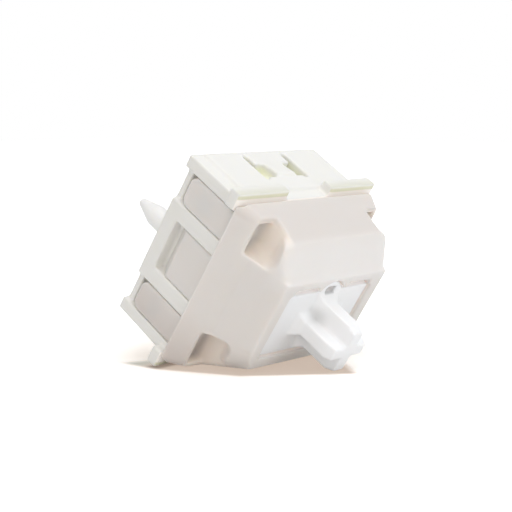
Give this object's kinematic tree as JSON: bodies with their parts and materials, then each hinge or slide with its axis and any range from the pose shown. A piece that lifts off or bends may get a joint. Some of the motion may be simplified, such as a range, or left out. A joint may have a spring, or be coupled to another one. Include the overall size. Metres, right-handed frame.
{
  "type": "mechanical keyboard switch",
  "caption": "Key switch with a cross stem that slides down against a coil spring, in a two-part clip-together housing with board legs and a plate flange.",
  "frame": {"origin": "on the axis of the centre post, in the plane where the lower housing sits on the circuit board", "axes": "+Z is the way the stem rises; +Y is the side with the creased sloping face of the upper housing, the two contact pins are on the -Y side; +X completes a right-handed frame"},
  "size_m": [0.0156, 0.0156, 0.019],
  "materials": {
    "cream_plastic": "fine satin moulding",
    "milky_plastic": "smooth, slightly see-through",
    "white_plastic": "smooth self-lubricating plastic",
    "spring_steel": "drawn wire",
    "terminal_brass": "stamped and plated",
    "leaf_copper": "rolled copper alloy sheet",
    "contact_metal": "polished"
  },
  "bodies": {
    "housing": {"bottom_housing": "cream_plastic", "top_housing": "milky_plastic", "fixed_terminal": "terminal_brass", "fixed_contact_point": "contact_metal", "leaf_terminal": "terminal_brass", "return_spring": "spring_steel"},
    "stem": {"stem": "white_plastic"},
    "leaf": {"moving_leaf": "leaf_copper", "moving_contact_point": "contact_metal"}
  },
  "joints": [
    {"name": "stem_travel", "type": "slide", "parent": "housing", "child": "stem", "axis": [0, 0, -1], "range_m": [0, 0.004], "stiffness_N_per_m": 62, "springref_m": -0.0055, "deforming": ["return_spring"]},
    {"name": "leaf_swing", "type": "hinge", "parent": "housing", "child": "leaf", "pos_m": [0, -0.0053, 0.0015], "axis": [-1, 0, 0], "range_deg": [0, 3.8]}
  ],
  "couplings": [
    {"joint": "leaf_swing", "follows": "stem_travel", "rad_per_m": 16.58}
  ]
}
